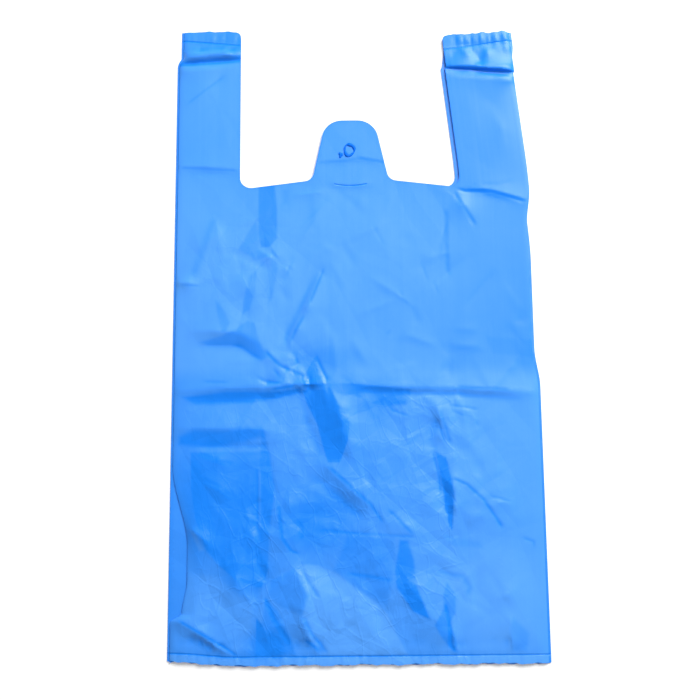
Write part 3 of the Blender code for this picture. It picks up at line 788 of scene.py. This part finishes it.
def facet(points, soft, outline):
    """1 inside an outline, fading over so far within its edge."""
    outline = np.array(outline, float)
    away = np.sqrt(np.sum((points - nearest_on(points, outline)) ** 2, axis=1))
    return smooth(np.where(inside(points, outline), away, -away), -1.0, soft)


def stroke(points, width, line):
    """1 along a line, fading to its sides and towards its ends."""
    line = np.array(line, float)
    away = np.sum((points - nearest_on(points, line, closed=False)) ** 2, axis=1)
    result = np.exp(-away / width ** 2)
    for tip in (line[0], line[-1]):
        result *= smooth(np.sqrt(np.sum((points - tip) ** 2, axis=1)), 0.0, 6.0)
    return result


def front_tone(flat, skin):
    """Painted shade and light on the front: deep in shaded patches, valleys, at cut edges and tucks and on
    the handles, pale in sheen.
    """
    x, y = np.abs(flat[:, 0]), flat[:, 1]
    # The gussets' folds under it, then painted shade: shade and sheen patches, the skin's valleys and along
    # the cut edges
    tone = 0.62 - 0.06 * smooth(x, INNER_FOLD - 2, INNER_FOLD + 2)
    for *place, depth in SHADE_AND_SHEEN_PATCHES:
        tone -= depth * patch(flat, *place)
    tone -= 0.9 * np.clip(skin.sample(flat, skin.hollows()), 0.0, 0.4)
    tone -= 0.25 * np.exp(-distance_to_cut(flat) / 1.3)
    # Painted light and shade from side to side, below and above the centre crease, evening out the lamp on
    # the right
    side = flat[:, 0] / HALF_FRONT
    upper = smooth(y, CENTRE_CREASE_Y + 4, CENTRE_CREASE_Y + 20)
    tone += 0.18 * np.clip(side, 0, 1) * (1 - upper) - 0.42 * side * upper
    # Beyond the welds: paler below the hem's weld, and painted shade above the handles' weld, where the lamp
    # lights more
    tone += 0.38 * (1 - smooth(y, HEM_WELD_Y - 1.5, HEM_WELD_Y))
    tone -= 0.10 * smooth(y, HANDLE_WELD_Y, HANDLE_WELD_Y + 2)
    # Painted shade: a dark line in each tuck's fold, the lit slope above it on the handles, and all from
    # about the neck up
    tuck = above_tuck(flat[:, 0], y)
    on_handle = smooth(x, HANDLE_INNER - 12, HANDLE_INNER - 4)
    tone -= 0.35 * on_handle * smooth(tuck, -3, 0) * (1 - smooth(tuck, 2, 5))
    tone -= 0.28 * on_handle * smooth(tuck, 2, 6) + 0.20 * smooth(y, 330, 390)
    return tone


def lie(flat):
    """Where places of the flat front panel lie, before its cut ends wander."""
    x, y = flat[:, 0], flat[:, 1]
    return np.stack([x + slide(x, y) + pull_shift(x, y), y + drop(x, y)], axis=1)


def refine(sheet):
    """Halve the grid along the sharp crease lines and round the facets."""
    mesh = sheet.data
    centres = lie(get_points(mesh)[get_corners(mesh).reshape(-1, 4), :2].mean(axis=1))
    busy = np.zeros(len(centres), bool)
    for _, width, *line in STROKES:
        busy |= stroke(centres, width + 1.0, line) > 0.1
    for _, soft, *outline in SHADED_FACETS:
        value = facet(centres, soft, outline)
        busy |= (value > 0.01) & (value < 0.99)
    edit_faces(mesh, busy)
    bpy.ops.mesh.subdivide(number_cuts=1)
    bpy.ops.object.mode_set(mode="OBJECT")


def make_front(skin):
    """The front panel, from its left outer fold to its right one."""
    columns = round(2 * HALF_FRONT / FRONT_PITCH)
    rows = round(LENGTH / FRONT_PITCH)
    sheet = add_grid("front_panel", columns, rows)
    points = get_points(sheet.data)
    points[:, 0] *= 2 * HALF_FRONT
    points[:, 1] = (points[:, 1] + 0.5) * LENGTH
    set_points(sheet.data, points)
    die_cut(sheet)
    refine(sheet)
    mesh = sheet.data
    flat = get_points(mesh)[:, :2].copy()
    x, y = flat[:, 0], flat[:, 1]
    write_flat_map(mesh, flat)
    lying = lie(flat)
    # Painted shade and light along the crease lines and on the facets, into the tone; the lines also sink the
    # film a little
    lines = sum(depth * stroke(lying, width, line) for depth, width, *line in STROKES)
    facets = sum(depth * facet(lying, soft, outline) for depth, soft, *outline in SHADED_FACETS)
    write_value(mesh, "tone", front_tone(flat, skin) - LINE_TONE * lines - FACET_TONE * facets)
    write_value(mesh, "crumple", crumple(flat))
    loose = smooth(HALF_FRONT - np.abs(x), 0.0, 6.0)
    fine = (fine_creases(flat, 5) - 0.6 * lines) * loose
    height = FRONT_Z + np.maximum(skin.sample(flat) + fine, 0.0)
    height -= FOLD_RADIUS * (1 - smooth(HALF_FRONT - np.abs(x), 0.0, 1.2))
    placed = np.stack([lying[:, 0], lying[:, 1] + cut_edges(x, y, 0.4) - LENGTH / 2, height], axis=1)
    set_points(mesh, placed * MM)
    thicken(sheet)
    return sheet


def under_section():
    """The folded section of the gussets and the back panel, as (x, z) from one front fold to the other."""
    right = [
        (HALF_BACK - FOLD_RADIUS, BACK_Z),
        (HALF_BACK, BACK_Z + FOLD_RADIUS),
        (HALF_BACK - FOLD_RADIUS, GUSSET_BACK_Z),
        (INNER_FOLD + FOLD_RADIUS, GUSSET_BACK_Z),
        (INNER_FOLD, GUSSET_BACK_Z + FOLD_RADIUS),
        (INNER_FOLD + FOLD_RADIUS, GUSSET_FRONT_Z),
        (HALF_FRONT - FOLD_RADIUS, GUSSET_FRONT_Z),
        (HALF_FRONT, FRONT_Z - FOLD_RADIUS),
    ]
    corners = [(-x, z) for x, z in reversed(right)] + right
    result = [corners[0]]
    for (x0, z0), (x1, z1) in zip(corners, corners[1:]):
        steps = max(1, round(math.hypot(x1 - x0, z1 - z0) / UNDER_PITCH))
        for step in range(1, steps + 1):
            share = step / steps
            result.append((x0 + share * (x1 - x0), z0 + share * (z1 - z0)))
    return np.array(result)


def make_under():
    """The film under the front panel: both gussets, folded in, and the back panel."""
    section = under_section()
    rows = round(LENGTH / UNDER_PITCH)
    sheet = add_grid("gussets_and_back", len(section) - 1, rows)
    mesh = sheet.data
    points = get_points(mesh)
    column = np.rint((points[:, 0] + 0.5) * (len(section) - 1)).astype(int)
    points[:, 1] = (points[:, 1] + 0.5) * LENGTH
    points[:, 0] = section[column, 0]
    points[:, 2] = section[column, 1]
    set_points(mesh, points)
    die_cut(sheet)
    points = get_points(mesh)
    flat = points[:, :2].copy()
    x, y, z = points.T
    write_flat_map(mesh, flat)
    upper = np.clip((z - GUSSET_BACK_Z) / LAYER_STEP, 0.0, 1.0)
    # Painted shade: the under film deeper near its cut edges and outer folds, beside and under the front
    # panel's edges
    tone = 0.42 - 0.2 * np.exp(-distance_to_cut(flat) / 2.0) + 0.1 * upper
    tone -= 0.15 * np.exp(-(HALF_BACK - np.abs(x)) / 2.0)
    write_value(mesh, "tone", tone)
    write_value(mesh, "crumple", 0.35 * np.ones(len(flat)))
    placed = np.stack([
        x + slide(x, y) + pull_shift(x, y) * upper + under_shift(x, y) * (1 - upper),
        y + drop(x, y) + cut_edges(x, y, 2.1 + upper) - LENGTH / 2,
        z,
    ], axis=1)
    set_points(mesh, placed * MM)
    thicken(sheet)
    return sheet


def make_pin_rim(skin):
    """The melted ring that pinned the tab, with its torn nib."""
    base = FRONT_Z + skin.sample(np.array([[CUT_X, PIN_Y]]))[0]
    select_none()
    bpy.ops.mesh.primitive_torus_add(major_segments=72, minor_segments=12, major_radius=RING_RADIUS * MM,
                                     minor_radius=RING_THICK * MM)
    ring = bpy.context.object
    ring.name = "pin_ring"
    ring.data.name = "pin_ring"
    points = get_points(ring.data) / MM
    turn = np.arctan2(points[:, 1], points[:, 0])
    reach = np.hypot(points[:, 0], points[:, 1]) - RING_RADIUS
    swell = 1 + 0.35 * np.sin(turn * 2 - 0.4) + 0.15 * np.sin(turn * 5)
    radius = RING_RADIUS * (1 + 0.06 * np.sin(turn * 3 + 1)) + reach * swell
    points[:, 0] = radius * np.cos(turn) * 0.92
    points[:, 1] = radius * np.sin(turn) * 1.10
    points[:, 2] *= 0.5 * swell
    points += [CUT_X - 0.6, PIN_Y - LENGTH / 2, base + 0.2]
    set_points(ring.data, points * MM)
    select_none()
    bpy.ops.mesh.primitive_uv_sphere_add(segments=24, ring_count=12, radius=NIB_RADIUS * MM)
    nib = bpy.context.object
    points = get_points(nib.data) / MM
    turn = np.arctan2(points[:, 1], points[:, 0])
    points *= (1 + 0.2 * np.sin(turn * 3 + 0.5))[:, None]
    points = points @ np.array([[1.4, -0.3, 0], [0.3, 2.0, 0], [0, 0, 0.5]])
    points += [CUT_X - 7.6, PIN_Y - LENGTH / 2 - 4.2, base + 0.2]
    set_points(nib.data, points * MM)
    ring.select_set(True)
    bpy.context.view_layer.objects.active = ring
    bpy.ops.object.join()
    ring.data.shade_smooth()
    return ring


# Materials

class Value:
    """A socket, or a number, that adds its own Math nodes when it is reckoned with."""

    def __init__(self, tree, socket):
        self.tree = tree
        self.socket = socket

    def node(self, kind, settings=None, **inputs):
        """Any node: its settings first, then the values or links of its sockets."""
        item = self.tree.nodes.new(kind)
        for name, value in (settings or {}).items():
            setattr(item, name, value)
        for name, value in inputs.items():
            key = int(name[1:]) if name[0] == "_" and name[1:].isdigit() else name.replace("_", " ")
            socket = item.inputs[key]
            if isinstance(value, Value):
                self.tree.links.new(value.socket, socket)
            elif isinstance(value, bpy.types.NodeSocket):
                self.tree.links.new(value, socket)
            else:
                socket.default_value = value
        return item

    def maths(self, operation, first, second=0.0):
        """One Math node on two values."""
        item = self.node("ShaderNodeMath", {"operation": operation}, _0=first, _1=second)
        return Value(self.tree, item.outputs[0])

    def __add__(self, other):
        return self.maths("ADD", self, other)

    def __radd__(self, other):
        return self.maths("ADD", other, self)

    def __sub__(self, other):
        return self.maths("SUBTRACT", self, other)

    def __rsub__(self, other):
        return self.maths("SUBTRACT", other, self)

    def __mul__(self, other):
        return self.maths("MULTIPLY", self, other)

    def __rmul__(self, other):
        return self.maths("MULTIPLY", other, self)

    def __abs__(self):
        return self.maths("ABSOLUTE", self)

    def less_than(self, other):
        """1 where this value is below the other."""
        return self.maths("LESS_THAN", self, other)

    def falloff(self, reach):
        """1 at zero, down to 0 at reach, held between the two."""
        share = self.maths("MULTIPLY", abs(self), 1.0 / reach)
        item = self.node("ShaderNodeMath", {"operation": "SUBTRACT", "use_clamp": True}, _0=1.0, _1=share)
        return Value(self.tree, item.outputs[0])


def new_material(name):
    """A node material, its tree and its Principled shader."""
    material = bpy.data.materials.new(name)
    material.use_nodes = True
    tree = material.node_tree
    return material, tree, tree.nodes["Principled BSDF"]


DEEP_BLUE = (0.000, 0.222, 0.930, 1.0)
PALE_BLUE = (0.077, 0.335, 0.930, 1.0)
MELT_DARK = (0.000, 0.110, 0.700, 1.0)
MELT_LIGHT = (0.000, 0.200, 0.900, 1.0)


def film_material():
    """Thin glossy film: tone, with its painted shade and sheen, from its attribute, a painted shadow along
    the slit, faint lines along the bag and crackle where crumpled.
    """
    material, tree, shader = new_material("blue_film")
    tools = Value(tree, None)
    tone = Value(tree, tools.node("ShaderNodeAttribute", {"attribute_name": "tone"}).outputs["Fac"])
    place = tools.node("ShaderNodeTexCoord").outputs["Object"]
    flat = tools.node("ShaderNodeUVMap").outputs["UV"]
    split = tools.node("ShaderNodeSeparateXYZ", Vector=flat)
    u = Value(tree, split.outputs["X"])
    v = Value(tree, split.outputs["Y"])

    lines_at = tools.node("ShaderNodeMapping", Vector=flat, Scale=(55.0, 1.2, 1.0))
    lines = tools.node("ShaderNodeTexNoise", Vector=lines_at.outputs[0], Scale=1.0, Detail=3.0)
    lines = Value(tree, lines.outputs["Fac"])
    patches = tools.node("ShaderNodeTexNoise", Vector=place, Scale=14.0, Detail=3.0, Roughness=0.6)
    patches = Value(tree, patches.outputs["Fac"])

    hem_line = (v - (HEM_WELD_Y / LENGTH)).falloff(WELD_LINE / LENGTH)
    top_y = HANDLE_WELD_Y / LENGTH - WELD_SLOPE * (HALF_FRONT + HANDLE_INNER) / 2 / LENGTH
    top_line = (v - abs(u - 0.5) * WELD_SLOPE - top_y).falloff(WELD_LINE / LENGTH)
    weld = hem_line + top_line
    # The slit: a painted shadow line where the cut lies closed, and a shallow groove
    slit_middle = (CUT_X / LENGTH + 0.5, (SLIT_Y + SLIT_RADIUS) / LENGTH, 0.0)
    away = tools.node("ShaderNodeVectorMath", {"operation": "DISTANCE"}, _0=flat, _1=slit_middle)
    arc = (Value(tree, away.outputs["Value"]) - SLIT_RADIUS / LENGTH).falloff(SLIT_LINE / LENGTH)
    near = abs(u - slit_middle[0]).less_than(SLIT_HALF / LENGTH)
    slit = arc * near * (v - slit_middle[1]).less_than(0.0)

    roughness = 0.31 + 0.12 * patches
    tree.links.new(roughness.socket, shader.inputs["Roughness"])
    shader.inputs["Specular IOR Level"].default_value = 0.4

    crumpled = Value(tree, tools.node("ShaderNodeAttribute", {"attribute_name": "crumple"}).outputs["Fac"])
    warp = tools.node("ShaderNodeTexNoise", Vector=place, Scale=25.0, Detail=2.0)
    bend = (0.006, 0.006, 0.0)
    shift = tools.node("ShaderNodeVectorMath", {"operation": "MULTIPLY"}, _0=warp.outputs["Color"], _1=bend)
    bent = tools.node("ShaderNodeVectorMath", {"operation": "ADD"}, _0=place, _1=shift.outputs[0])
    relief = 0.15 * lines
    crumpled_most = crumpled * crumpled * patches
    turned = {"vector_type": "TEXTURE"}
    edges = {"feature": "DISTANCE_TO_EDGE"}
    for turn, scale, rise in ((0.5, 28.0, 3.6), (-0.9, 70.0, 1.2)):
        laid = tools.node("ShaderNodeMapping", turned, Vector=bent.outputs[0], Rotation=(0, 0, turn),
                          Scale=(1, 2, 1))
        facets = tools.node("ShaderNodeTexVoronoi", edges, Vector=laid.outputs[0], Scale=scale)
        relief = relief + rise * crumpled * Value(tree, facets.outputs["Distance"])
    for turn, scale in ((0.75, 34.0), (-0.9, 44.0), (0.2, 52.0)):
        laid = tools.node("ShaderNodeMapping", turned, Vector=bent.outputs[0], Rotation=(0, 0, turn),
                          Scale=(1, 2.2, 1))
        field = tools.node("ShaderNodeTexNoise", Vector=laid.outputs[0], Scale=scale, Detail=2.0)
        ridge = (Value(tree, field.outputs["Fac"]) - 0.5).falloff(0.025)
        relief = relief + 0.30 * crumpled_most * ridge
    relief = relief - 0.25 * weld - 0.3 * slit
    # Colour: the tone attribute's painted shade and sheen, the slit's painted shadow, and the film's own
    # lines, patches and welds
    mix = tone + 0.10 * (lines - 0.5) + 0.30 * (patches - 0.5) - 0.75 * weld - 0.7 * slit
    ramp = tools.node("ShaderNodeMix", {"data_type": "RGBA", "clamp_factor": True})
    tree.links.new(mix.socket, ramp.inputs[0])
    ramp.inputs[6].default_value = DEEP_BLUE
    ramp.inputs[7].default_value = PALE_BLUE
    tree.links.new(ramp.outputs[2], shader.inputs["Base Color"])

    bump = tools.node("ShaderNodeBump", Strength=1.0, Distance=MM, Height=relief)
    tree.links.new(bump.outputs[0], shader.inputs["Normal"])
    return material


def melt_material():
    """Film that has melted and set again: deeper and duller."""
    material, tree, shader = new_material("melted_film")
    tools = Value(tree, None)
    place = tools.node("ShaderNodeTexCoord").outputs["Object"]
    noise = tools.node("ShaderNodeTexNoise", Vector=place, Scale=700.0, Detail=2.0)
    ramp = tools.node("ShaderNodeMix", {"data_type": "RGBA"})
    tree.links.new(noise.outputs["Fac"], ramp.inputs[0])
    ramp.inputs[6].default_value = MELT_DARK
    ramp.inputs[7].default_value = MELT_LIGHT
    tree.links.new(ramp.outputs[2], shader.inputs["Base Color"])
    shader.inputs["Roughness"].default_value = 0.5
    shader.inputs["Specular IOR Level"].default_value = 0.1
    bump = tools.node("ShaderNodeBump", Strength=0.3, Distance=0.0004, Height=noise.outputs["Fac"])
    tree.links.new(bump.outputs[0], shader.inputs["Normal"])
    return material


def floor_material():
    """A plain white surface that takes the bag's shadow and reads as white to the camera."""
    material, tree, shader = new_material("white_surface")
    tools = Value(tree, None)
    shader.inputs["Base Color"].default_value = (0.93, 0.93, 0.93, 1.0)
    shader.inputs["Roughness"].default_value = 0.9
    shader.inputs["Specular IOR Level"].default_value = 0.0
    seen = Value(tree, tools.node("ShaderNodeLightPath").outputs["Is Camera Ray"])
    glow = tools.node("ShaderNodeEmission", Color=(1.0, 1.0, 1.0, 1.0))
    strength = 0.14 * seen
    tree.links.new(strength.socket, glow.inputs["Strength"])
    both = tools.node("ShaderNodeAddShader", _0=shader.outputs[0], _1=glow.outputs[0])
    tree.links.new(both.outputs[0], tree.nodes["Material Output"].inputs["Surface"])
    return material


# Stage, lights and camera

def make_floor():
    """A wide flat surface just under the bag."""
    select_none()
    width = 1.3
    gap = 0.0002
    bpy.ops.mesh.primitive_plane_add(size=width, location=(0, 0, -gap))
    floor = bpy.context.object
    floor.name = "floor"
    floor.data.materials.append(floor_material())


def add_light(name, place, aim, size, power):
    """A square soft light that looks at a point."""
    bpy.ops.object.light_add(type="AREA", location=place)
    lamp = bpy.context.object
    lamp.name = name
    lamp.data.shape = "SQUARE"
    lamp.data.size = size
    lamp.data.energy = power
    lamp.rotation_euler = (Vector(aim) - Vector(place)).to_track_quat("-Z", "Y").to_euler()


def make_lights():
    """One large soft light from beyond the handles on the right, and an even pale room."""
    add_light("window", (1.00, 1.40, 1.40), (0, 0, 0), 1.3, 67.0)
    add_light("ceiling", (0.35, 0.70, 1.80), (0, 0, 0), 1.0, 6.0)
    world = bpy.data.worlds.new("room")
    bpy.context.scene.world = world
    world.use_nodes = True
    tree = world.node_tree
    tools = Value(tree, None)
    seen = Value(tree, tools.node("ShaderNodeLightPath").outputs["Is Camera Ray"])
    back = tree.nodes["Background"]
    back.inputs["Color"].default_value = (1.0, 1.0, 1.0, 1.0)
    strength = 0.33 + 0.67 * seen
    tree.links.new(strength.socket, back.inputs["Strength"])


def make_camera():
    """Looking down on the bag from a little on its hem's side, as in the photograph."""
    place = (-0.0045, 0.0921 - LENGTH * MM / 2, 0.8299)
    tilt = 0.1717
    roll = 0.0100
    view_angle = 35.76
    data = bpy.data.cameras.new("camera")
    data.angle = math.radians(view_angle)
    camera = bpy.data.objects.new("camera", data)
    bpy.context.scene.collection.objects.link(camera)
    turn = Matrix.Rotation(tilt, 4, "X") @ Matrix.Rotation(-roll, 4, "Z")
    camera.matrix_world = Matrix.Translation(place) @ turn
    bpy.context.scene.camera = camera


def declare(piece, material):
    """A finished piece: its material and what it rides on; the imported part it replaces is hidden."""
    piece.data.materials.clear()
    piece.data.materials.append(material)
    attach(piece, "root")
    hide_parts(NODE)


def main():
    """Make the bag, its stage and its view."""
    bpy.context.scene.view_settings.view_transform = "Standard"
    creases = ALL_CREASES + puckers(HEM_WELD_Y, -139, 139, 4.6, 16, 5.4, 0.9, 3)
    creases += puckers(HANDLE_WELD_Y, -139, -91, 4.2, 9, 7.0, 0.7, 8)
    creases += puckers(HANDLE_WELD_Y, 91, 139, 5.0, 11, 7.0, 1.5, 11)
    skin = Skin(creases, FRONT_PITCH)
    front = make_front(skin)
    under = make_under()
    ring = make_pin_rim(skin)
    film = film_material()
    declare(front, film)
    declare(under, film)
    declare(ring, melt_material())
    neck_area = 2 * HANDLE_INNER * HANDLE_LENGTH - TAB_HEIGHT * (TAB_FOOT_HALF + TAB_TOP_HALF)
    under_width = 4 * GUSSET_DEPTH + 2 * HALF_BACK
    gusset_area = 4 * (HANDLE_INNER - INNER_FOLD) * HANDLE_LENGTH
    make_floor()
    make_lights()
    make_camera()


main()
